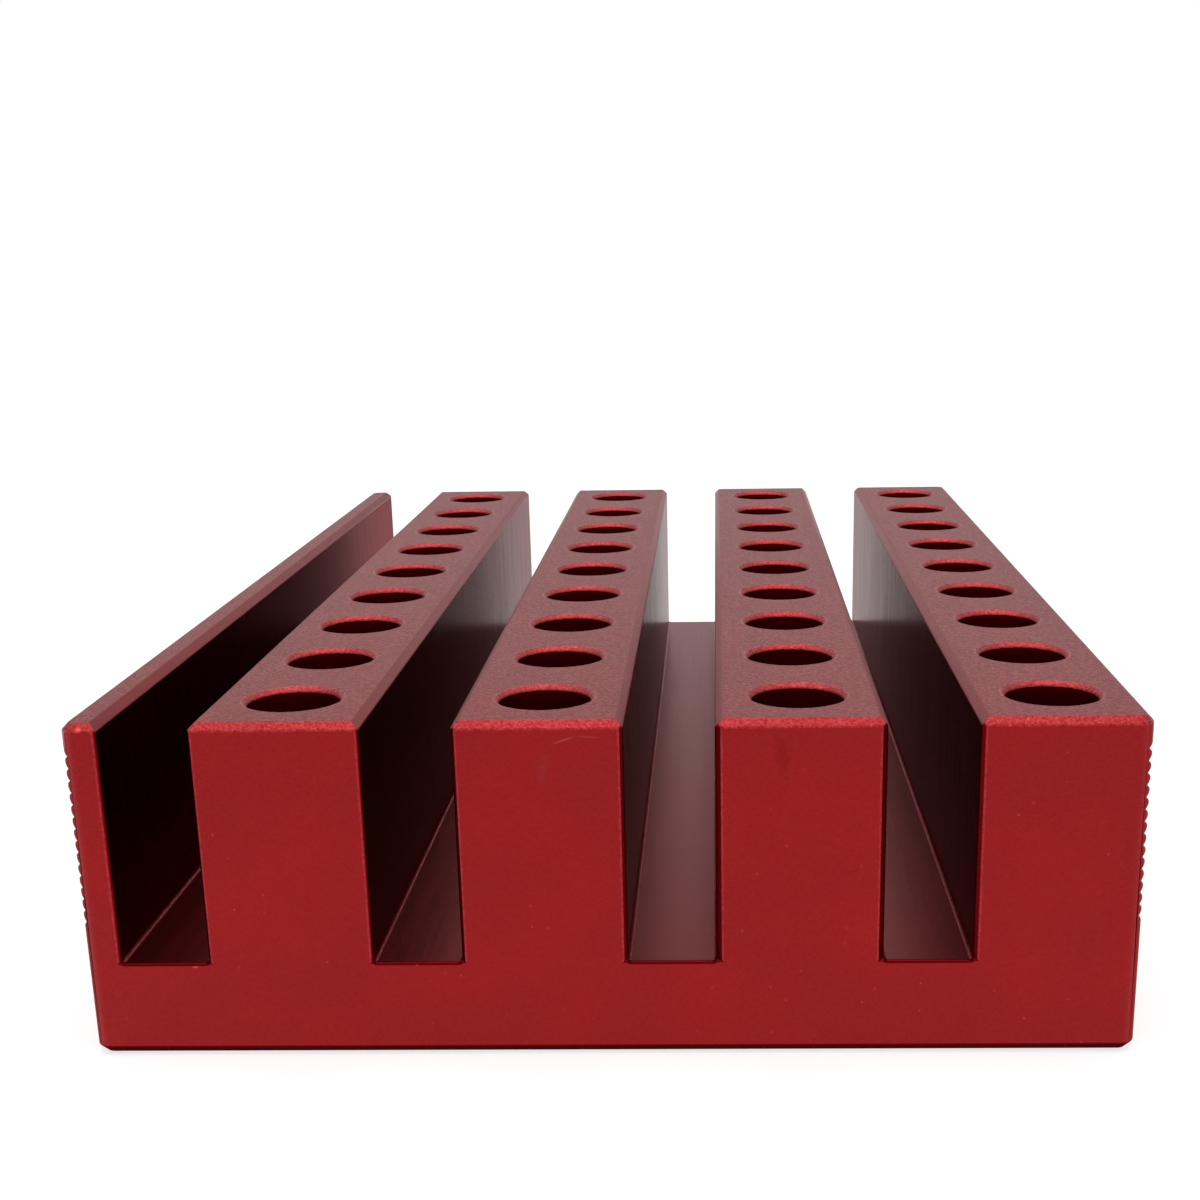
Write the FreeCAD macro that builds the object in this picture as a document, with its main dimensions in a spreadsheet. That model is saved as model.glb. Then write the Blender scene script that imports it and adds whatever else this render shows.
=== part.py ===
import FreeCAD, Part
import os
import re

import Sketcher
from FreeCAD import Placement, Rotation, Vector

# A cold block: one billet of aluminium, slotted and bored, then bead blasted and anodised.
# X runs across the ribs, Y along them and Z up. The origin is the centre of the underside.

DRIVING = (
    # The footprint is that of a microplate, so the block drops into a plate nest.
    ("block_width", 85.48),
    ("block_length", 127.76),
    ("block_height", 28.4),
    ("corner_radius", 1.3),
    ("top_chamfer", 0.6),
    ("foot_chamfer", 0.75),
    # Four slots part the thin side wall and the four ribs, each with as many wells in a row.
    ("slot_count", 4),
    ("slot_width", 7.15),
    ("slot_floor", 8.2),
    ("slot_corner", 0.25),
    ("side_wall", 3.0),
    # The slots' mouths have a fine chamfer, and their upright edges are broken by hand,
    # so these differ from rib to rib.
    ("mouth_chamfer", 0.15),
    ("wall_edge", 0.25),
    ("rib_1_edge", 0.25),
    ("rib_2_edge", 0.35),
    ("rib_3_edge", 0.5),
    ("rib_4_edge", 0.4),
    # A well is a straight bore with a chamfered rim. The end mill leaves its bottom flat,
    # with the bevel of its own corners round it.
    ("well_count", 9),
    ("well_margin", 7.5),
    ("well_floor", 4.0),
    ("well_diameter", 7.55),
    ("rim_chamfer", 0.38),
    ("bottom_bevel", 0.3),
    # Fine grooves along both long sides give the fingers a grip.
    ("grip_count", 15),
    ("grip_pitch", 1.0),
    ("grip_depth", 0.45),
    ("grip_angle", 80.0),
    ("grip_drop", 2.7),
)

DERIVED = (
    ("rib_width", "=(block_width - side_wall) / slot_count - slot_width"),
    ("rib_pitch", "=rib_width + slot_width"),
    ("slot_depth", "=block_height - slot_floor"),
    ("slot_start", "=side_wall - block_width / 2"),
    ("first_rib", "=slot_start + slot_width + rib_width / 2"),
    ("well_pitch", "=(block_length - 2 * well_margin) / (well_count - 1)"),
    ("first_well", "=well_margin - block_length / 2"),
    ("well_depth", "=block_height - well_floor"),
    ("grip_half", "=grip_depth * tan(grip_angle / 2)"),
)

RIB_EDGES = ("rib_1_edge", "rib_2_edge", "rib_3_edge", "rib_4_edge")
CLOSE = 1e-4

doc = FreeCAD.newDocument("cold_block_model")


def fill_sheet():
    """The sheet of sizes: each name beside its value, in a cell that answers to the name."""
    made = doc.addObject("Spreadsheet::Sheet", "Sizes")
    for row, (name, value) in enumerate(DRIVING + DERIVED, start=1):
        made.set(f"A{row}", name)
        made.set(f"B{row}", str(value))
        made.setAlias(f"B{row}", name)
    doc.recompute()
    return made


sizes = fill_sheet()


def bound(formula):
    """A formula in the sheet's names, as another object holds it."""
    return re.sub(r"[a-z]+(_\w+)+", lambda word: "Sizes." + word.group(0), formula)


def value_of(formula):
    return float(sizes.evalExpression(bound(formula)))


body = doc.addObject("PartDesign::Body", "cold_block")
body.Label = "cold_block"


def origin_part(role):
    """The body's own origin plane or axis with this role."""
    return next(part for part in body.Origin.OriginFeatures if part.Role == role)


def sketch_on(role, name, shift=("0", "0", "0")):
    """A sketch on an origin plane, its own origin shifted by three formulas."""
    made = body.newObject("Sketcher::SketchObject", name)
    made.AttachmentSupport = [(origin_part(role), "")]
    made.MapMode = "FlatFace"
    made.AttachmentOffset = Placement(Vector(*map(value_of, shift)), Rotation())
    for axis, formula in zip("xyz", shift):
        if formula != "0":
            made.setExpression(f"AttachmentOffset.Base.{axis}", bound(formula))
    return made


def hold(sketch, kind, point, formula):
    """Holds one end of a line at a distance from the sketch's origin, along one axis."""
    if formula == "0":
        axis = -2 if kind == "DistanceX" else -1
        sketch.addConstraint(Sketcher.Constraint("PointOnObject", *point, axis))
        return
    at = sketch.addConstraint(Sketcher.Constraint(kind, -1, 1, *point, value_of(formula)))
    sketch.setExpression(f"Constraints[{at}]", bound(formula))


def add_outline(sketch, corners):
    """A closed outline of straight lines through corners given by two formulas each."""
    places = [Vector(value_of(x), value_of(y), 0) for x, y in corners]
    first = sketch.GeometryCount
    count = len(corners)
    for here, there in zip(places, places[1:] + places[:1]):
        sketch.addGeometry(Part.LineSegment(here, there), False)
    for number, (x, y) in enumerate(corners):
        line = first + number
        after = first + (number + 1) % count
        sketch.addConstraint(Sketcher.Constraint("Coincident", line, 2, after, 1))
        hold(sketch, "DistanceX", (line, 1), x)
        hold(sketch, "DistanceY", (line, 1), y)


def add_feature(kind, name, **settings):
    """A feature at the tip of the body, with its plain settings."""
    made = body.newObject("PartDesign::" + kind, name)
    for key, value in settings.items():
        setattr(made, key, value)
    return made


def edges_where(shape, test):
    """The names of the edges whose ends, and middle, all pass a test."""
    names = []
    for number, edge in enumerate(shape.Edges, start=1):
        middle = edge.valueAt((edge.FirstParameter + edge.LastParameter) / 2)
        if all(test(point) for point in [vertex.Point for vertex in edge.Vertexes] + [middle]):
            names.append(f"Edge{number}")
    return names


def near(a, b):
    return abs(a - b) < CLOSE


def check_cut(feature):
    """Recomputes after a cut, and makes sure that it took something away."""
    doc.recompute()
    before = feature.BaseFeature.Shape.Volume
    if not feature.Shape.Volume < before - CLOSE:
        raise RuntimeError(feature.Name + " cut nothing")


def repeat(name, original, axis, count, pitch, reverse=False):
    """Repeats a feature along an origin axis."""
    made = body.newObject("PartDesign::LinearPattern", name)
    made.Originals = [original]
    made.Direction = (origin_part(axis), [""])
    made.Reversed = reverse
    made.Mode = "Spacing"
    made.setExpression("Occurrences", bound(count))
    made.setExpression("Offset", bound(pitch))
    body.Tip = made
    check_cut(made)


def billet():
    """The plain billet, with its upright corners rounded and its foot chamfered."""
    footprint = sketch_on("XY_Plane", "footprint")
    left, right = "-block_width / 2", "block_width / 2"
    front, back = "-block_length / 2", "block_length / 2"
    add_outline(footprint, ((left, front), (right, front), (right, back), (left, back)))
    stock = add_feature("Pad", "stock", Profile=footprint)
    stock.setExpression("Length", bound("block_height"))
    doc.recompute()
    height = value_of("block_height")
    uprights = []
    for number, edge in enumerate(stock.Shape.Edges, start=1):
        if near(abs(edge.Vertexes[0].Z - edge.Vertexes[-1].Z), height):
            uprights.append(f"Edge{number}")
    corners = add_feature("Fillet", "corners", Base=(stock, uprights))
    corners.setExpression("Radius", bound("corner_radius"))
    doc.recompute()
    lowest = edges_where(corners.Shape, lambda point: near(point.z, 0))
    foot = add_feature("Chamfer", "foot", Base=(corners, lowest))
    foot.setExpression("Size", bound("foot_chamfer"))
    check_cut(foot)


def slots():
    """The slots, open at the top and at both ends, with a small radius along the floor."""
    section = sketch_on("XZ_Plane", "slot_section")
    left, right = "slot_start", "slot_start + slot_width"
    above = "block_height + slot_width"
    add_outline(section, ((left, "slot_floor"), (right, "slot_floor"), (right, above), (left, above)))
    cut = add_feature("Pocket", "slot", Profile=section, SideType="Symmetric", Type="ThroughAll")
    check_cut(cut)
    repeat("slots", cut, "X_Axis", "slot_count", "rib_pitch")
    walls = slot_walls()
    floor = value_of("slot_floor")
    lines = edges_where(
        body.Tip.Shape,
        lambda point: near(point.z, floor) and any(near(point.x, wall) for wall in walls),
    )
    corners = add_feature("Fillet", "slot_corners", Base=(body.Tip, lines))
    corners.setExpression("Radius", bound("slot_corner"))
    doc.recompute()


def slot_walls():
    """The places of the slots' walls along X, left and right in turn."""
    walls = []
    for number in range(int(value_of("slot_count"))):
        left = value_of(f"slot_start + {number} * rib_pitch")
        walls += [left, left + value_of("slot_width")]
    return walls


def top_edges():
    """One chamfer all round the tops of the side wall and the ribs."""
    height = value_of("block_height")
    highest = edges_where(body.Tip.Shape, lambda point: near(point.z, height))
    chamfer = add_feature("Chamfer", "top_edges", Base=(body.Tip, highest))
    chamfer.setExpression("Size", bound("top_chamfer"))
    check_cut(chamfer)


def slot_mouths():
    """A fine chamfer round both mouths of each slot: up one wall, along the floor, up the other."""
    walls = slot_walls()
    pairs = list(zip(walls[::2], walls[1::2]))
    reach = value_of("block_length / 2")

    def at_mouth(point):
        inside = any(left - CLOSE < point.x < right + CLOSE for left, right in pairs)
        return inside and near(abs(point.y), reach)

    lines = edges_where(body.Tip.Shape, at_mouth)
    chamfer = add_feature("Chamfer", "slot_mouths", Base=(body.Tip, lines))
    chamfer.setExpression("Size", bound("mouth_chamfer"))
    check_cut(chamfer)


def broken_edges():
    """The upright edges at the slots' mouths, broken from the top down to the slot's floor."""
    plan = sketch_on("XY_Plane", "edge_breaks", ("0", "0", "block_height"))
    front = "-block_length / 2"
    for number in range(int(value_of("slot_count"))):
        left = f"slot_start + {number} * rib_pitch"
        right = f"slot_start + {number} * rib_pitch + slot_width"
        left_size = RIB_EDGES[(number - 1) % len(RIB_EDGES)] if number else "wall_edge"
        right_size = RIB_EDGES[number % len(RIB_EDGES)]
        for wall, size, metal, air in ((left, left_size, "-", "+"), (right, right_size, "+", "-")):
            add_outline(
                plan,
                (
                    (f"{wall} {metal} {size}", front),
                    (wall, f"{front} + {size}"),
                    (f"{wall} {air} {size}", f"{front} - {size}"),
                ),
            )
    cut = add_feature("Pocket", "front_breaks", Profile=plan, Type="Length")
    cut.setExpression("Length", bound("slot_depth"))
    check_cut(cut)
    mirrored = body.newObject("PartDesign::Mirrored", "back_breaks")
    mirrored.Originals = [cut]
    mirrored.MirrorPlane = (origin_part("XZ_Plane"), [""])
    body.Tip = mirrored
    check_cut(mirrored)


def grips():
    """The grip grooves: a V in both long sides, repeated downwards."""
    section = sketch_on("XZ_Plane", "grip_section")
    level = "block_height - grip_drop"
    below, over = f"{level} - 2 * grip_half", f"{level} + 2 * grip_half"
    for sign, metal, air in (("", "-", "+"), ("-", "+", "-")):
        side = f"{sign}block_width / 2"
        outside = f"{side} {air} grip_depth"
        add_outline(section, ((f"{side} {metal} grip_depth", level), (outside, below), (outside, over)))
    cut = add_feature("Pocket", "grip", Profile=section, SideType="Symmetric", Type="ThroughAll")
    check_cut(cut)
    repeat("grips", cut, "Z_Axis", "grip_count", "grip_pitch", reverse=True)


def wells():
    """The wells: one is turned out of the first rib, then repeated along and across."""
    section = sketch_on("XZ_Plane", "well_section", ("first_rib", "block_height", "-first_well"))
    wall = "well_diameter / 2"
    rim = f"{wall} + rim_chamfer"
    bottom = "-well_depth"
    add_outline(
        section,
        (
            ("0", "0"),
            (rim, "0"),
            (wall, "-rim_chamfer"),
            (wall, f"{bottom} + bottom_bevel"),
            (f"{wall} - bottom_bevel", bottom),
            ("0", bottom),
        ),
    )
    turned = add_feature("Groove", "well", Profile=section, ReferenceAxis=(section, ["V_Axis"]))
    turned.Angle = 360
    check_cut(turned)
    made = body.newObject("PartDesign::LinearPattern", "wells")
    made.Originals = [turned]
    made.Direction = (origin_part("Y_Axis"), [""])
    made.Direction2 = (origin_part("X_Axis"), [""])
    made.Mode = "Spacing"
    made.Mode2 = "Spacing"
    # A spacing of -1 stands for the pattern's own offset, along the second direction too.
    made.Spacings2 = [-1.0]
    made.setExpression("Occurrences", bound("well_count"))
    made.setExpression("Offset", bound("well_pitch"))
    made.setExpression("Occurrences2", bound("slot_count"))
    made.setExpression("Offset2", bound("rib_pitch"))
    body.Tip = made
    check_cut(made)


def check_and_write():
    """Stops if an object failed, then writes the block's solid."""
    doc.recompute()
    for item in doc.Objects:
        if {"Invalid", "Error"} & set(item.State):
            raise RuntimeError(item.Name + " failed")
    shape = body.Shape
    if shape.isNull() or not shape.isValid() or len(shape.Solids) != 1:
        raise RuntimeError("the block isn't one valid solid")
    os.makedirs("parts", exist_ok=True)
    shape.exportStep(os.path.join("parts", body.Label + ".step"))
    box = shape.BoundBox
    print(f"{body.Label}: {box.XLength:.2f} x {box.YLength:.2f} x {box.ZLength:.2f} mm,")
    print(f"{shape.Volume:.1f} mm3, {len(shape.Faces)} faces")


billet()
slots()
top_edges()
slot_mouths()
broken_edges()
grips()
wells()
check_and_write()
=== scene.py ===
import math
from collections import namedtuple

import bpy
from mathutils import Matrix, Vector


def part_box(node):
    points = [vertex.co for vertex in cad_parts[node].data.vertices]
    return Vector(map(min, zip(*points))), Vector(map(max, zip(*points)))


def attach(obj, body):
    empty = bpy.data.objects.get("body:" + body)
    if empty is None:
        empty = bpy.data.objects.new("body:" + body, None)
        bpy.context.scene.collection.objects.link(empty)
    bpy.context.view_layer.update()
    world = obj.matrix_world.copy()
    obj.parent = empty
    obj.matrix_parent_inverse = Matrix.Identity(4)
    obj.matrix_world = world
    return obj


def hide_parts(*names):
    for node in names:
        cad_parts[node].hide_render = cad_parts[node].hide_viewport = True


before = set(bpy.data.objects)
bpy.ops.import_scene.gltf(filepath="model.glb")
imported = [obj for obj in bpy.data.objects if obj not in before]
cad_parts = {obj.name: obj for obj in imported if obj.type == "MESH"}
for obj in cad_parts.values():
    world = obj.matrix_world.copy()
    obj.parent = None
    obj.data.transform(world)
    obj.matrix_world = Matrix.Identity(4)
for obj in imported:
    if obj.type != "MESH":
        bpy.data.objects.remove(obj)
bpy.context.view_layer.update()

bl_info = {
    "name": "Cold block",
    "version": (1, 0, 0),
    "blender": (4, 5, 0),
    "location": "View3D > Sidebar > Cold block",
    "description": "Finishes a red anodised cold block and sets it on a pale studio floor",
    "category": "Object",
}

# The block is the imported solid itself. X runs across its ribs, Y along them and Z up.
LOW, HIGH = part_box("cold_block")
MM = 0.001

# Corners nearer than MERGE are one. Facets that turn by less than FLAT are one face, and an edge that
# turns by more than SHARP is softened.
MERGE = 0.002 * MM
FLAT = math.radians(0.2)
SHARP = math.radians(20)

# A face is square to an axis from this share of its normal, leans sideways from the next and looks to
# the front or the back from the last.
SQUARE = 0.9999
SIDEWAYS = 0.5
FORWARD = 0.8
# The block's outer corners and edges lie within OUTER of its sides. The wells end lower than WELL_FLOOR
# above its underside.
OUTER = 1.5 * MM
WELL_FLOOR = 5.0 * MM

# The grain stands for the marks of the cut: the strength of its relief, how many finer layers it has,
# how strong each is beside the last, and the span that holds nearly all of its values. With it the
# gloss swings by GLOSS_SWING, and the dye by DYE_SHARE of what the clear oxide does.
GRAIN_RELIEF = 0.8
GRAIN_DETAIL = 4.0
GRAIN_HARSHNESS = 0.75
GRAIN_SPAN = (0.4, 0.6)
GLOSS_SWING = 0.1
DYE_SHARE = 0.25
# Faint clouds that dyeing leaves: their width, how many finer layers they have, the span of their
# values and the shades that it gives.
CLOUD = 9 * MM
CLOUD_DETAIL = 3.0
CLOUD_SPAN = (0.3, 0.7)
CLOUD_SHADES = (0.94, 1.05)
# Painted glints: spots lighter in dye and in clear oxide, standing in for light caught by the grain. Their
# radius, how far apart they lie on a face and on a chamfer, the share of the radius that is fully lit, the
# share of places that have none, and how far a glint lifts the dye and the clear oxide.
GLINT_RADIUS = 0.14 * MM
FACE_GLINTS = 1.2 * MM
CHAMFER_GLINTS = 0.45 * MM
GLINT_CORE = 0.4
GLINT_SPARED = 0.7
GLINT_DYE = 0.7
GLINT_CLEAR = 0.5
# Roughness of the sealed oxide's own surface.
OXIDE_ROUGHNESS = 0.3

# Marks of use that the photograph shows: where each lies, half its size, its slope, and how much
# lighter and greyer it is than the skin round it. The distance from its middle, in half sizes, and the
# grain are added, so that the rim frays. The mark starts at the first sum in FRAYED and is full at the
# second.
Mark = namedtuple("Mark", "centre half_size tilt shade grey")
FRAYED = (1.5, 0.9)
FRONT = LOW.y
FACE_WEAR = (
    # The scratch below the second rib's top, in two parts.
    Mark((-3.15 * MM, FRONT, 26.85 * MM), (1.1 * MM, 1 * MM, 0.1 * MM), -0.32, 0.1, 0.8),
    Mark((-1.15 * MM, FRONT, 27.1 * MM), (1.1 * MM, 1 * MM, 0.08 * MM), 0.07, 0.0, 0.5),
    # The smudge below it.
    Mark((-4.8 * MM, FRONT, 24.5 * MM), (0.5 * MM, 1 * MM, 1.6 * MM), 0.2, -0.05, 0.15),
    # The dark smear and the hairline on the third rib.
    Mark((13.9 * MM, FRONT, 25.4 * MM), (0.7 * MM, 1 * MM, 2.6 * MM), -0.15, -0.12, -0.05),
    Mark((16.8 * MM, FRONT, 23.3 * MM), (1.0 * MM, 1 * MM, 0.06 * MM), 0.1, -0.4, 0.1),
    # The nick at the first slot's floor.
    Mark((-33.7 * MM, FRONT, 7.9 * MM), (0.3 * MM, 1 * MM, 0.15 * MM), 0.0, 0.8, 0.8),
)
EDGE_WEAR = (
    # The knock on the thin wall's top corner.
    Mark((-41.1 * MM, FRONT + 0.3 * MM, 27.9 * MM), (0.3 * MM, 1 * MM, 0.25 * MM), 0.0, 0.8, 1.0),
)

# The photograph is square, and its camera was found from the block's own edges. The camera here sees
# nothing nearer than NEAREST.
PHOTO_PX = 1200
SENSOR_MM = 36.0
FOCAL_PX = 1708.98
CENTRE_PX = (680.0, 750.0)
NEAREST = 5 * MM

# The floor's paper: its width in metres, how much light it throws back, and the glow that lifts it to
# white for the eye.
FLOOR_WIDTH = 6.0
PAPER = 0.5
PAPER_GLOW = 0.7
# The room is white low down. It turns into the walls, and these into the ceiling, between such heights
# on a sphere of radius 1.
WALLS_FROM = (0.04, 0.16)
CEILING_FROM = (0.45, 0.8)
# The soft box's two sides and its place, in metres.
SOFT_BOX_SIDES = (0.5, 0.4)
SOFT_BOX_PLACE = (0.0, -0.05, 0.5)
WHITE = (1.0, 1.0, 1.0, 1.0)


def linear(hexa):
    """An sRGB hex colour, such as "a0151c", as the linear colour that a shader takes."""
    parts = [int(hexa[at : at + 2], 16) / 255 for at in (0, 2, 4)]
    return [part / 12.92 if part <= 0.04045 else ((part + 0.055) / 1.055) ** 2.4 for part in parts]


def add_node(tree, kind, inputs=None, **settings):
    """A node with its settings, each of its inputs fed by a socket or set to a constant."""
    node = tree.nodes.new("ShaderNode" + kind)
    for name, value in settings.items():
        setattr(node, name, value)
    for name, value in (inputs or {}).items():
        if isinstance(value, bpy.types.NodeSocket):
            tree.links.new(value, node.inputs[name])
        else:
            node.inputs[name].default_value = value
    return node


class ColdBlockFinish(bpy.types.PropertyGroup):
    """The red anodised skin of the block."""

    dye: bpy.props.FloatVectorProperty(
        name="Dye",
        description="Colour of the dyed oxide where the light comes straight back from the metal",
        subtype="COLOR",
        size=3,
        min=0.0,
        max=1.0,
        default=linear("94060b"),
    )
    # Painted light: this lighter dye stands in for the overhead light that the chamfers and rims catch.
    painted_light_edge_dye: bpy.props.FloatVectorProperty(
        name="Painted light edge dye",
        description="Colour of the chamfers and rims, whose thinner oxide takes less dye",
        subtype="COLOR",
        size=3,
        min=0.0,
        max=1.0,
        default=linear("ac2226"),
    )
    # Painted shade: this darker dye stands in for the shade inside the wells and on the dark corners.
    painted_shade_dye: bpy.props.FloatVectorProperty(
        name="Painted shade dye",
        description="Colour of the wells and filed corners, which no beads reach and which take more dye",
        subtype="COLOR",
        size=3,
        min=0.0,
        max=1.0,
        default=linear("6c0408"),
    )
    # Painted highlight: a lighter dye for the thin line where a filed corner meets the front.
    painted_highlight_dye: bpy.props.FloatVectorProperty(
        name="Painted highlight dye",
        description="Colour of the thin worn lines beside the filed corners",
        subtype="COLOR",
        size=3,
        min=0.0,
        max=1.0,
        default=linear("9a1e22"),
    )
    roughness: bpy.props.FloatProperty(
        name="Roughness",
        description="How far the blasted surface spreads a reflection",
        default=0.4,
        min=0.05,
        max=1.0,
    )
    oxide: bpy.props.FloatProperty(
        name="Oxide",
        description="Share of the clear sealed oxide that mirrors without tint",
        default=0.34,
        min=0.0,
        max=1.0,
    )
    grit: bpy.props.FloatProperty(
        name="Grit",
        description="Width of the dimples that the beads leave",
        default=0.25 * MM,
        unit="LENGTH",
    )
    streak: bpy.props.FloatProperty(
        name="Streak",
        description="Spacing of the marks that the cutter leaves on the slots' walls and floors",
        default=0.5 * MM,
        unit="LENGTH",
    )
    soft_edge: bpy.props.FloatProperty(
        name="Soft edge",
        description="Radius that blasting leaves on each edge",
        default=0.1 * MM,
        unit="LENGTH",
    )


class ColdBlockStage(bpy.types.PropertyGroup):
    """The room, the lamp and the camera."""

    eye: bpy.props.FloatVectorProperty(
        name="Eye",
        description="Place of the camera in the block's frame",
        subtype="TRANSLATION",
        size=3,
        default=(8.96 * MM, -191.07 * MM, 64.05 * MM),
    )
    yaw: bpy.props.FloatProperty(
        name="Yaw",
        description="Turn of the view to the right of the ribs",
        default=-0.0238,
        unit="ROTATION",
    )
    pitch: bpy.props.FloatProperty(
        name="Pitch",
        description="Rise of the view above the horizon",
        default=-0.2906,
        unit="ROTATION",
    )
    roll: bpy.props.FloatProperty(
        name="Roll",
        description="Turn of the picture about the view",
        default=0.014,
        unit="ROTATION",
    )
    surround: bpy.props.FloatProperty(
        name="Surround",
        description="Brightness of the room, as it lights the floor",
        default=0.6,
        min=0.0,
    )
    walls: bpy.props.FloatProperty(
        name="Walls",
        description="Brightness of the room's walls, as the block mirrors them",
        default=0.45,
        min=0.0,
    )
    ceiling: bpy.props.FloatProperty(
        name="Ceiling",
        description="Brightness of the room's ceiling, as the block mirrors it",
        default=1.0,
        min=0.0,
    )
    overhead: bpy.props.FloatProperty(
        name="Overhead",
        description="Power of the soft box above the block",
        default=1.0,
        min=0.0,
        subtype="POWER",
    )


def anodised_aluminium(
    name,
    dye,
    roughness,
    oxide,
    grit,
    relief,
    specks=0.12,
    stretch=(1.0, 1.0, 1.0),
    grazing_shade="ffffff",
    glint_spacing=FACE_GLINTS,
    marks=(),
):
    """Aluminium anodised red, with the marks of the cut under its oxide.

    The dyed oxide tints the metal's reflection red where the eye looks down on it. Its clear sealed top
    mirrors the pale room without tint where the eye skims along it. The cut's marks are one grain of
    dimples, as wide as the grit, as deep as the relief and drawn out by the stretch, which moves the
    surface and its gloss, and its shade by as much as specks says. The grazing tint is the colour that the
    metal takes where the eye skims along it, painted shade wherever it is darker than white. Painted
    glints, as far apart as their spacing says, lift the dye and the clear oxide here and there. The marks
    of use lie over all of it.
    """
    material = bpy.data.materials.new(name)
    material.use_nodes = True
    tree = material.node_tree
    tree.nodes.clear()
    place = add_node(tree, "TexCoord").outputs["Object"]
    drawn = add_node(tree, "Mapping", {"Vector": place, "Scale": stretch}).outputs["Vector"]
    grain = add_node(
        tree,
        "TexNoise",
        {"Vector": drawn, "Scale": 1 / grit, "Detail": GRAIN_DETAIL, "Roughness": GRAIN_HARSHNESS},
    ).outputs["Fac"]
    cloud = add_node(
        tree,
        "TexNoise",
        {"Vector": place, "Scale": 1 / CLOUD, "Detail": CLOUD_DETAIL},
    ).outputs["Fac"]
    bump = add_node(
        tree,
        "Bump",
        {"Height": grain, "Strength": GRAIN_RELIEF, "Distance": relief},
    ).outputs["Normal"]

    clouded = {"Value": cloud, "From Min": CLOUD_SPAN[0], "From Max": CLOUD_SPAN[1]}
    grained = {"Value": grain, "From Min": GRAIN_SPAN[0], "From Max": GRAIN_SPAN[1]}
    level = add_node(
        tree,
        "MapRange",
        {**clouded, "To Min": CLOUD_SHADES[0], "To Max": CLOUD_SHADES[1]},
    ).outputs["Result"]
    speck = add_node(
        tree,
        "MapRange",
        {**grained, "To Min": 1 - specks * DYE_SHARE, "To Max": 1 + specks * DYE_SHARE},
    ).outputs["Result"]
    level = add_node(tree, "Math", {0: level, 1: speck}, operation="MULTIPLY").outputs[0]
    gloss = add_node(
        tree,
        "MapRange",
        {**grained, "To Min": roughness * (1 - GLOSS_SWING), "To Max": roughness * (1 + GLOSS_SWING)},
    ).outputs["Result"]
    clear = add_node(
        tree,
        "MapRange",
        {**grained, "To Min": oxide * (1 - specks), "To Max": oxide * (1 + specks)},
    ).outputs["Result"]

    # Painted glints: a few spots with a lighter dye and more clear oxide.
    cells = add_node(tree, "TexVoronoi", {"Vector": place, "Scale": 1 / glint_spacing}).outputs
    glint = add_node(
        tree,
        "MapRange",
        {"Value": cells["Distance"], "From Min": GLINT_RADIUS / glint_spacing, "From Max": GLINT_CORE * GLINT_RADIUS / glint_spacing},
    ).outputs["Result"]
    chance = add_node(tree, "SeparateXYZ", {0: cells["Color"]}).outputs["X"]
    chosen = add_node(
        tree,
        "MapRange",
        {"Value": chance, "From Min": GLINT_SPARED, "From Max": 1.0},
    ).outputs["Result"]
    glint = add_node(tree, "Math", {0: glint, 1: chosen}, operation="MULTIPLY").outputs[0]
    level = add_node(tree, "Math", {0: glint, 1: GLINT_DYE, 2: level}, operation="MULTIPLY_ADD").outputs[0]
    clear = add_node(tree, "Math", {0: glint, 1: GLINT_CLEAR, 2: clear}, operation="MULTIPLY_ADD").outputs[0]

    for mark in marks:
        turn = (0.0, mark.tilt, 0.0)
        spot = add_node(
            tree,
            "Mapping",
            {"Vector": place, "Location": mark.centre, "Rotation": turn, "Scale": mark.half_size},
            vector_type="TEXTURE",
        ).outputs["Vector"]
        away = add_node(tree, "VectorMath", {0: spot}, operation="LENGTH").outputs["Value"]
        frayed = add_node(tree, "Math", {0: away, 1: grain}, operation="ADD").outputs[0]
        worn = add_node(
            tree,
            "MapRange",
            {"Value": frayed, "From Min": FRAYED[0], "From Max": FRAYED[1]},
        ).outputs["Result"]
        level = add_node(
            tree,
            "Math",
            {0: worn, 1: mark.shade, 2: level},
            operation="MULTIPLY_ADD",
        ).outputs[0]
        clear = add_node(
            tree,
            "Math",
            {0: worn, 1: mark.grey, 2: clear},
            operation="MULTIPLY_ADD",
        ).outputs[0]

    colour = add_node(tree, "VectorMath", {0: dye, "Scale": level}, operation="SCALE").outputs["Vector"]
    skin = add_node(
        tree,
        "BsdfPrincipled",
        {
            "Base Color": colour,
            "Metallic": 1.0,
            "Roughness": gloss,
            "Specular Tint": (*linear(grazing_shade), 1.0),
            "Normal": bump,
            "Coat Weight": clear,
            "Coat Roughness": OXIDE_ROUGHNESS,
            "Coat Normal": bump,
        },
    )
    add_node(tree, "OutputMaterial", {"Surface": skin.outputs["BSDF"]})
    return material


def blasted_faces(finish):
    """Bead blasted: a satin skin of fine dimples, drawn a little coarser than real so that they show."""
    return anodised_aluminium(
        "bead_blasted_faces",
        dye=finish.dye,
        roughness=finish.roughness,
        oxide=finish.oxide * 0.9,
        grit=finish.grit,
        relief=0.07 * MM,
        marks=FACE_WEAR,
    )


def blasted_tops(finish):
    """The faces that look up, along which the eye skims, so that each dimple is a light or a dark speck."""
    return anodised_aluminium(
        "bead_blasted_tops",
        dye=finish.dye,
        roughness=finish.roughness,
        oxide=finish.oxide * 1.15,
        grit=finish.grit * 1.2,
        relief=0.12 * MM,
        specks=0.8,
    )


def blasted_edges(finish):
    """Chamfers, where beads strike from two sides and leave coarser facets; a lighter dye paints the
    overhead light on them, and painted glints sparkle one by one.
    """
    return anodised_aluminium(
        "bead_blasted_chamfers",
        dye=finish.painted_light_edge_dye,
        roughness=finish.roughness,
        oxide=finish.oxide * 1.3,
        grit=finish.grit,
        relief=0.12 * MM,
        specks=0.8,
        glint_spacing=CHAMFER_GLINTS,
        marks=EDGE_WEAR,
    )


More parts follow.
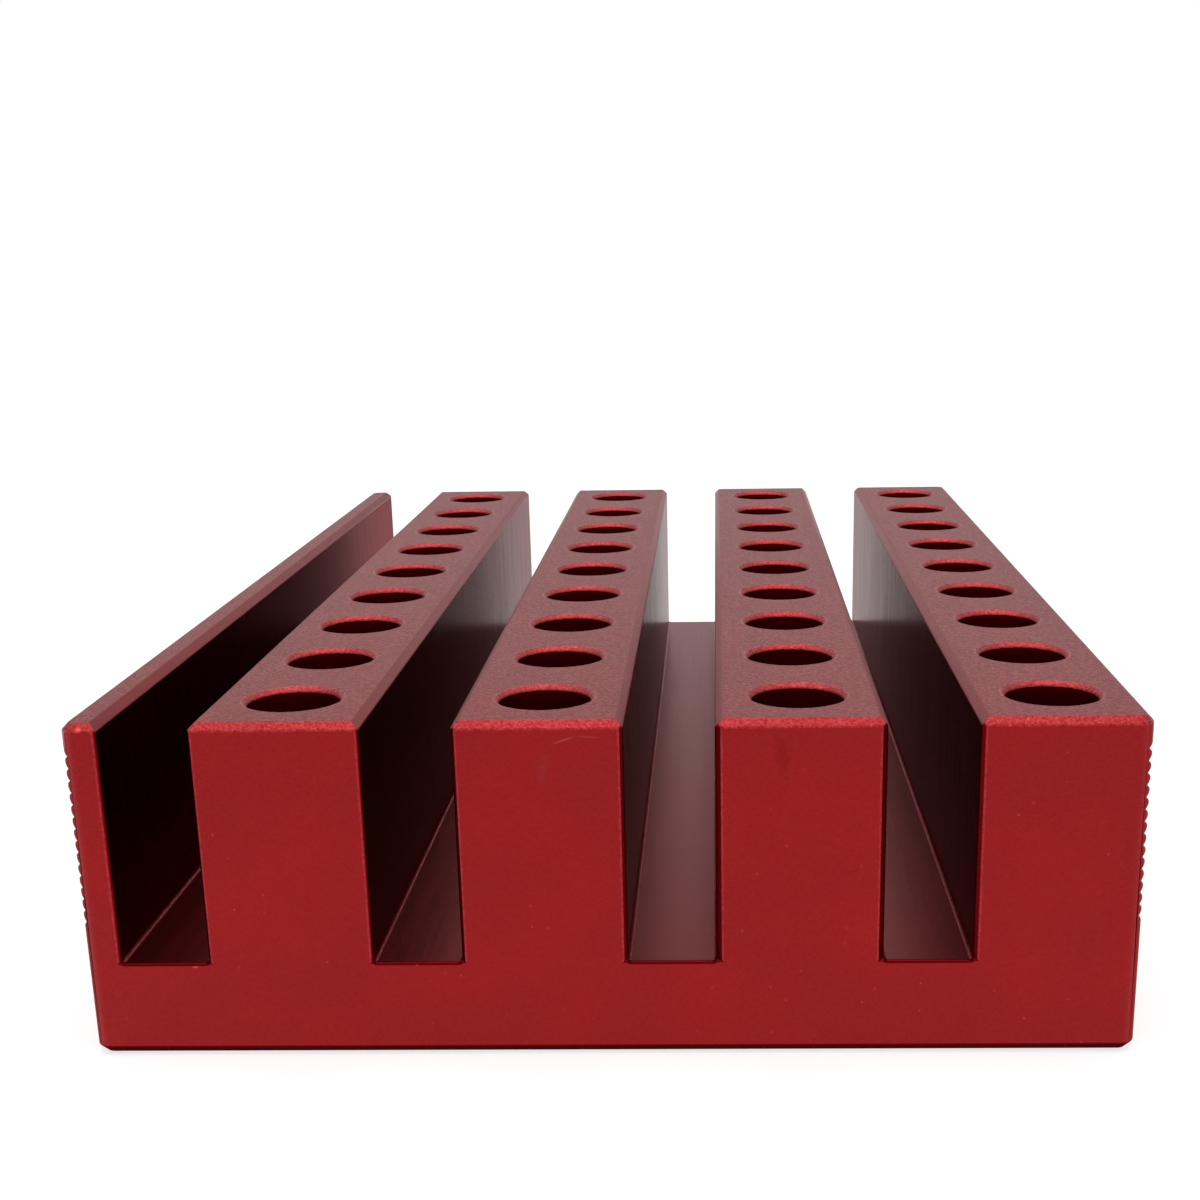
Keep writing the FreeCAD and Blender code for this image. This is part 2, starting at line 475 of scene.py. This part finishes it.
def blasted_rims(finish):
    """The wells' rims: the chamfers' finish with its painted light, made a little paler by use."""
    return anodised_aluminium(
        "bead_blasted_rims",
        dye=finish.painted_light_edge_dye,
        roughness=finish.roughness,
        oxide=finish.oxide * 2.2,
        grit=finish.grit,
        relief=0.12 * MM,
        specks=0.7,
        glint_spacing=CHAMFER_GLINTS,
    )


def grooved_sides(finish):
    """The outer sides with their grip grooves: the same blasting, with a painted shade where the eye skims
    along it.
    """
    return anodised_aluminium(
        "bead_blasted_sides",
        dye=finish.dye,
        roughness=finish.roughness,
        oxide=finish.oxide * 0.6,
        grit=finish.grit,
        relief=0.04 * MM,
        # Painted shade: a greyer tint darkens the sides where the eye skims along them.
        grazing_shade="bcaaaa",
    )


def milled_walls(finish):
    """The slots' side walls, left as the end mill cut them: glossier, with faint upright marks and a
    painted shade where the eye skims along them.
    """
    return anodised_aluminium(
        "end_milled_walls",
        dye=finish.dye,
        roughness=finish.roughness * 0.62,
        oxide=finish.oxide * 0.15,
        grit=finish.streak,
        relief=0.004 * MM,
        stretch=(1.0, 1.0, 0.03),
        # Painted shade: a greyer tint darkens the slots' walls where the eye skims along them.
        grazing_shade="aca4a4",
    )


def milled_floors(finish):
    """The slots' floors and the underside, milled: smoother than the tops, with faint marks along them."""
    return anodised_aluminium(
        "end_milled_floors",
        dye=finish.dye,
        roughness=finish.roughness * 0.8,
        oxide=finish.oxide * 1.25,
        grit=finish.streak,
        relief=0.006 * MM,
        stretch=(1.0, 0.03, 1.0),
    )


def bored_wells(finish):
    """The wells, bored dull, in a darker dye that paints the shade inside them as a dark red glow."""
    return anodised_aluminium(
        "bored_wells",
        dye=finish.painted_shade_dye,
        roughness=finish.roughness * 1.2,
        oxide=finish.oxide * 0.1,
        grit=finish.grit,
        relief=0.02 * MM,
    )


def painted_dark_corners(finish):
    """The slots' mouths and the block's foot, broken with a file: smooth, and darkened by painted shade."""
    return anodised_aluminium(
        "painted_shade_corners",
        dye=finish.painted_shade_dye,
        roughness=finish.roughness * 0.8,
        oxide=finish.oxide * 0.1,
        grit=finish.grit,
        relief=0.03 * MM,
        # Painted shade: a dark grazing tint keeps these corners dark, for the slots' shade and the shadow
        # under the foot.
        grazing_shade="703c3c",
    )


def highlight_edges(finish):
    """The thin line where a filed corner meets a face, in a lighter dye: a painted highlight."""
    return anodised_aluminium(
        "painted_highlight_edges",
        dye=finish.painted_highlight_dye,
        roughness=finish.roughness,
        oxide=finish.oxide,
        grit=finish.grit,
        relief=0.04 * MM,
        specks=0.6,
    )


FINISHES = (
    blasted_faces,
    blasted_tops,
    blasted_edges,
    blasted_rims,
    grooved_sides,
    milled_walls,
    milled_floors,
    bored_wells,
    painted_dark_corners,
    highlight_edges,
)


def finish_of(face):
    """The finish that the cut behind a face gives it, from the way the face looks and where it lies."""
    toward = Vector(abs(part) for part in face.normal)
    place = face.center
    upright = toward.z < 1 - SQUARE
    between = abs(place.x) < HIGH.x - OUTER
    within = between and abs(place.y) < HIGH.y - OUTER
    topmost = place.z > HIGH.z - OUTER
    bottom = face.normal.z > 0 and place.z < LOW.z + WELL_FLOOR
    if between and toward.x > SQUARE:
        return milled_walls
    # The wells' faces take the darker dye, which is painted shade.
    if within and (upright or bottom):
        return bored_wells
    if not between and toward.x > SIDEWAYS and not topmost:
        return grooved_sides
    # Upright edge breaks: those that look forward get a painted highlight, the rest painted shade.
    if between and upright and max(toward) < SQUARE:
        return highlight_edges if toward.y > FORWARD else painted_dark_corners
    if toward.z > SQUARE:
        return blasted_tops if topmost else milled_floors
    if upright or topmost and toward.y < 1 - SQUARE:
        return blasted_faces
    if within:
        return blasted_rims
    # Chamfers at the top take the lighter dye of painted light; the others, as at the foot, take painted
    # shade.
    return blasted_edges if topmost else painted_dark_corners


class COLDBLOCK_OT_block(bpy.types.Operator):
    """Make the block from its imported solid, with every sharp edge softened as blasting leaves it"""

    bl_idname = "cold_block.block"
    bl_label = "Make the block"

    def execute(self, context):
        finish = context.scene.cold_block_finish
        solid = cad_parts["cold_block"]
        bpy.ops.object.select_all(action="DESELECT")
        block = bpy.data.objects.new("anodised_block", solid.data.copy())
        context.scene.collection.objects.link(block)
        block.select_set(True)
        context.view_layer.objects.active = block
        self.join_facets()
        self.soften(block, finish)
        self.dress(block, finish)
        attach(block, "root")
        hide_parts("cold_block")
        return {"FINISHED"}

    def join_facets(self):
        """The solid's loose triangles, joined and taken together where they lie in one plane."""
        bpy.ops.object.mode_set(mode="EDIT")
        bpy.ops.mesh.select_all(action="SELECT")
        bpy.ops.mesh.remove_doubles(threshold=MERGE)
        bpy.ops.mesh.dissolve_limited(angle_limit=FLAT)
        bpy.ops.object.mode_set(mode="OBJECT")

    def soften(self, block, finish):
        """Every sharp edge rounded inside the solid's box, with the flat faces between them kept flat."""
        edges = block.modifiers.new("soft_edges", "BEVEL")
        edges.width = finish.soft_edge
        edges.segments = 2
        edges.limit_method = "ANGLE"
        edges.angle_limit = SHARP
        edges.use_clamp_overlap = False
        bpy.ops.object.modifier_apply(modifier=edges.name)
        for corner in block.data.vertices:
            corner.co = [min(max(part, low), high) for low, part, high in zip(LOW, corner.co, HIGH)]
        bpy.ops.object.shade_smooth()
        normals = block.modifiers.new("flat_faces", "WEIGHTED_NORMAL")
        normals.mode = "FACE_AREA"
        normals.weight = 100
        bpy.ops.object.modifier_apply(modifier=normals.name)

    def dress(self, block, finish):
        """Each face gets the finish of the cut that made it."""
        block.data.materials.clear()
        for made in FINISHES:
            block.data.materials.append(made(finish))
        for face in block.data.polygons:
            face.material_index = FINISHES.index(finish_of(face))


def pale_floor():
    """Matt white paper, lifted to white for the eye and for the metal, so that a soft shadow stays."""
    material = bpy.data.materials.new("matt_white_paper")
    material.use_nodes = True
    tree = material.node_tree
    tree.nodes.clear()
    path = add_node(tree, "LightPath").outputs
    sent = add_node(
        tree,
        "Math",
        {0: path["Is Glossy Ray"], 1: path["Is Transmission Ray"]},
        operation="MAXIMUM",
    ).outputs[0]
    seen = add_node(tree, "Math", {0: path["Is Camera Ray"], 1: sent}, operation="MAXIMUM").outputs[0]
    lift = add_node(tree, "Math", {0: seen, 1: PAPER_GLOW}, operation="MULTIPLY").outputs[0]
    matt = add_node(tree, "BsdfDiffuse", {"Color": (PAPER, PAPER, PAPER, 1.0)})
    glow = add_node(tree, "Emission", {"Strength": lift})
    both = add_node(tree, "AddShader", {0: matt.outputs[0], 1: glow.outputs[0]})
    add_node(tree, "OutputMaterial", {"Surface": both.outputs[0]})
    return material


class COLDBLOCK_OT_stage(bpy.types.Operator):
    """Set the block on a pale floor in a pale room, under a soft box, before the camera"""

    bl_idname = "cold_block.stage"
    bl_label = "Set the stage"

    def execute(self, context):
        stage = context.scene.cold_block_stage
        self.floor(context)
        self.room(context, stage)
        self.soft_box(context, stage)
        self.camera(context, stage)
        context.scene.view_settings.view_transform = "Standard"
        return {"FINISHED"}

    def floor(self, context):
        """A wide sheet of paper, level with the block's underside."""
        bpy.ops.object.select_all(action="DESELECT")
        bpy.ops.mesh.primitive_plane_add(size=FLOOR_WIDTH, location=(0.0, 0.0, LOW.z))
        floor = context.object
        floor.name = "floor"
        floor.data.materials.append(pale_floor())

    def room(self, context, stage):
        """White up to eye level, dimmer walls above it and a bright ceiling, as the metal mirrors them."""
        world = bpy.data.worlds.new("pale_room")
        context.scene.world = world
        world.use_nodes = True
        tree = world.node_tree
        tree.nodes.clear()
        around = add_node(tree, "TexCoord").outputs["Generated"]
        height = add_node(tree, "SeparateXYZ", {0: around}).outputs["Z"]
        past_eye = {"Value": height, "From Min": WALLS_FROM[0], "From Max": WALLS_FROM[1]}
        walls = add_node(
            tree,
            "MapRange",
            {**past_eye, "To Min": 1.0, "To Max": stage.walls},
            interpolation_type="SMOOTHSTEP",
        ).outputs["Result"]
        past_walls = {"Value": height, "From Min": CEILING_FROM[0], "From Max": CEILING_FROM[1]}
        ceiling = add_node(
            tree,
            "MapRange",
            {**past_walls, "To Max": stage.ceiling - stage.walls},
            interpolation_type="SMOOTHSTEP",
        ).outputs["Result"]
        mirrored = add_node(tree, "Math", {0: walls, 1: ceiling}, operation="ADD").outputs[0]
        path = add_node(tree, "LightPath").outputs
        plain = add_node(tree, "Mix", {0: path["Is Diffuse Ray"], 2: mirrored, 3: stage.surround})
        level = add_node(tree, "Mix", {0: path["Is Camera Ray"], 2: plain.outputs[0], 3: 1.0})
        sky = add_node(tree, "Background", {"Strength": level.outputs[0], "Color": WHITE})
        add_node(tree, "OutputWorld", {"Surface": sky.outputs[0]})

    def soft_box(self, context, stage):
        """A wide lamp above the block, which looks straight down."""
        data = bpy.data.lights.new("soft_box", "AREA")
        data.shape = "RECTANGLE"
        data.size, data.size_y = SOFT_BOX_SIDES
        data.energy = stage.overhead
        lamp = bpy.data.objects.new("soft_box", data)
        context.scene.collection.objects.link(lamp)
        lamp.location = SOFT_BOX_PLACE

    def camera(self, context, stage):
        """The photograph's camera, shifted as its framing needs."""
        data = bpy.data.cameras.new("camera")
        data.sensor_width = SENSOR_MM
        data.lens = FOCAL_PX / PHOTO_PX * SENSOR_MM
        data.shift_x = (PHOTO_PX / 2 - CENTRE_PX[0]) / PHOTO_PX
        data.shift_y = (CENTRE_PX[1] - PHOTO_PX / 2) / PHOTO_PX
        data.clip_start = NEAREST
        camera = bpy.data.objects.new("camera", data)
        context.scene.collection.objects.link(camera)
        turn = Matrix.Rotation(-stage.yaw, 4, "Z") @ Matrix.Rotation(math.pi / 2 + stage.pitch, 4, "X")
        roll = Matrix.Rotation(-stage.roll, 4, "Z")
        camera.matrix_world = Matrix.Translation(stage.eye) @ turn @ roll
        context.scene.camera = camera


class COLDBLOCK_PT_panel(bpy.types.Panel):
    """Lists the block's steps and sizes"""

    bl_idname = "COLDBLOCK_PT_panel"
    bl_label = "Cold block"
    bl_space_type = "VIEW_3D"
    bl_region_type = "UI"
    bl_category = "Cold block"

    def draw(self, context):
        for group in (context.scene.cold_block_finish, context.scene.cold_block_stage):
            box = self.layout.box()
            for name in group.__annotations__:
                box.prop(group, name)
        for step in STEPS:
            self.layout.operator(step.bl_idname)


STEPS = (COLDBLOCK_OT_block, COLDBLOCK_OT_stage)
CLASSES = (ColdBlockFinish, ColdBlockStage, *STEPS, COLDBLOCK_PT_panel)


def register():
    for made in CLASSES:
        bpy.utils.register_class(made)
    bpy.types.Scene.cold_block_finish = bpy.props.PointerProperty(type=ColdBlockFinish)
    bpy.types.Scene.cold_block_stage = bpy.props.PointerProperty(type=ColdBlockStage)


def unregister():
    del bpy.types.Scene.cold_block_stage
    del bpy.types.Scene.cold_block_finish
    for made in reversed(CLASSES):
        bpy.utils.unregister_class(made)


def main():
    register()
    bpy.ops.cold_block.block()
    bpy.ops.cold_block.stage()


if __name__ == "__main__":
    main()
